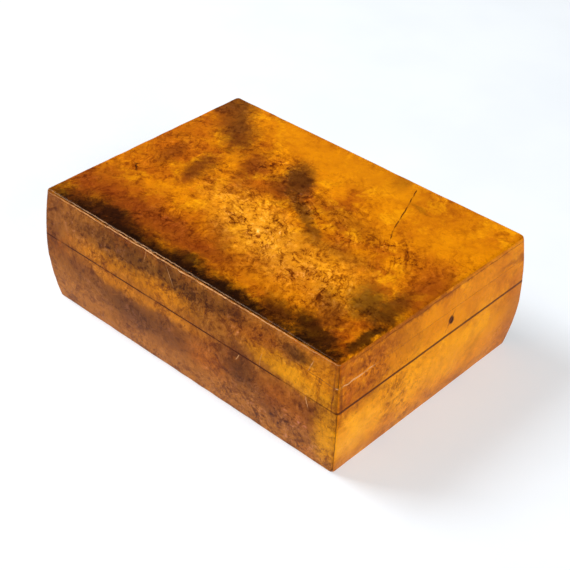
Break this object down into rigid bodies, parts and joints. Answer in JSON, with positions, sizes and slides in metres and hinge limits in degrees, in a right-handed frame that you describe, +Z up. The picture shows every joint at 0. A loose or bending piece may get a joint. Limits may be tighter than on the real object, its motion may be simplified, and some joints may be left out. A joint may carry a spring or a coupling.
{
  "type": "puzzle box",
  "caption": "Low rectangular burl wood puzzle box with swelling sides, a hinged lid, sliding secret strips, a hidden key and a hidden lock.",
  "frame": {"origin": "centre of the flat underside that the box rests on", "axes": "+X along the length to the end whose strip holds the key, -Y to the front, +Y to the hinges, +Z up"},
  "size_m": [0.15, 0.1085, 0.05],
  "materials": {
    "front_wall": "glossy varnished burl",
    "back_wall": "glossy varnished burl",
    "left_wall": "glossy varnished burl",
    "right_wall": "glossy varnished burl",
    "base_panel": "plain, lightly oiled",
    "hinge_left_box_leaf": "aged",
    "hinge_left_pin": "drawn, dull",
    "hinge_left_box_screw_1": "aged",
    "hinge_left_box_screw_2": "aged",
    "hinge_right_box_leaf": "aged",
    "hinge_right_pin": "drawn, dull",
    "hinge_right_box_screw_1": "aged",
    "hinge_right_box_screw_2": "aged",
    "link_plate": "aged",
    "link_screw_1": "aged",
    "link_screw_2": "aged",
    "front_rail": "glossy varnished burl",
    "back_rail": "glossy varnished burl",
    "left_rail": "glossy varnished burl",
    "right_rail": "glossy varnished burl",
    "lid_board": "plain, lightly oiled",
    "lid_top": "glossy varnished burl",
    "hinge_left_lid_leaf": "aged",
    "hinge_left_lid_screw_1": "aged",
    "hinge_left_lid_screw_2": "aged",
    "hinge_right_lid_leaf": "aged",
    "hinge_right_lid_screw_1": "aged",
    "hinge_right_lid_screw_2": "aged",
    "left_stop_pin": "aged",
    "right_stop_pin": "aged",
    "escutcheon": "aged",
    "escutcheon_pin_top": "aged",
    "escutcheon_pin_bottom": "aged",
    "lock_case": "aged",
    "lock_screw_1": "aged",
    "lock_screw_2": "aged",
    "bolt_spring": "drawn, dull",
    "right_strip": "glossy varnished burl",
    "key": "aged",
    "left_strip": "glossy varnished burl",
    "lock_bolt": "drawn, dull"
  },
  "bodies": {
    "box": {"front_wall": "front_wall", "back_wall": "back_wall", "left_wall": "left_wall", "right_wall": "right_wall", "base_panel": "base_panel", "hinge_left_box_leaf": "hinge_left_box_leaf", "hinge_left_pin": "hinge_left_pin", "hinge_left_box_screw_1": "hinge_left_box_screw_1", "hinge_left_box_screw_2": "hinge_left_box_screw_2", "hinge_right_box_leaf": "hinge_right_box_leaf", "hinge_right_pin": "hinge_right_pin", "hinge_right_box_screw_1": "hinge_right_box_screw_1", "hinge_right_box_screw_2": "hinge_right_box_screw_2", "link_plate": "link_plate", "link_screw_1": "link_screw_1", "link_screw_2": "link_screw_2"},
    "lid": {"front_rail": "front_rail", "back_rail": "back_rail", "left_rail": "left_rail", "right_rail": "right_rail", "lid_board": "lid_board", "lid_top": "lid_top", "hinge_left_lid_leaf": "hinge_left_lid_leaf", "hinge_left_lid_screw_1": "hinge_left_lid_screw_1", "hinge_left_lid_screw_2": "hinge_left_lid_screw_2", "hinge_right_lid_leaf": "hinge_right_lid_leaf", "hinge_right_lid_screw_1": "hinge_right_lid_screw_1", "hinge_right_lid_screw_2": "hinge_right_lid_screw_2", "left_stop_pin": "left_stop_pin", "right_stop_pin": "right_stop_pin", "escutcheon": "escutcheon", "escutcheon_pin_top": "escutcheon_pin_top", "escutcheon_pin_bottom": "escutcheon_pin_bottom", "lock_case": "lock_case", "lock_screw_1": "lock_screw_1", "lock_screw_2": "lock_screw_2", "bolt_spring": "bolt_spring"},
    "right_strip": {"right_strip": "right_strip", "key": "key"},
    "left_strip": {"left_strip": "left_strip"},
    "bolt": {"lock_bolt": "lock_bolt"}
  },
  "joints": [
    {"name": "lid_hinge", "type": "hinge", "parent": "box", "child": "lid", "pos_m": [0, 0.053, 0.03], "axis": [-1, 0, 0], "range_deg": [0, 88]},
    {"name": "right_strip_slide", "type": "slide", "parent": "lid", "child": "right_strip", "axis": [0, -1, 0], "range_m": [0, 0.028]},
    {"name": "left_strip_slide", "type": "slide", "parent": "lid", "child": "left_strip", "axis": [0, 1, 0], "range_m": [0, 0.028]},
    {"name": "bolt_slide", "type": "slide", "parent": "lid", "child": "bolt", "axis": [0, 1, 0], "range_m": [0, 0.0038]}
  ]
}
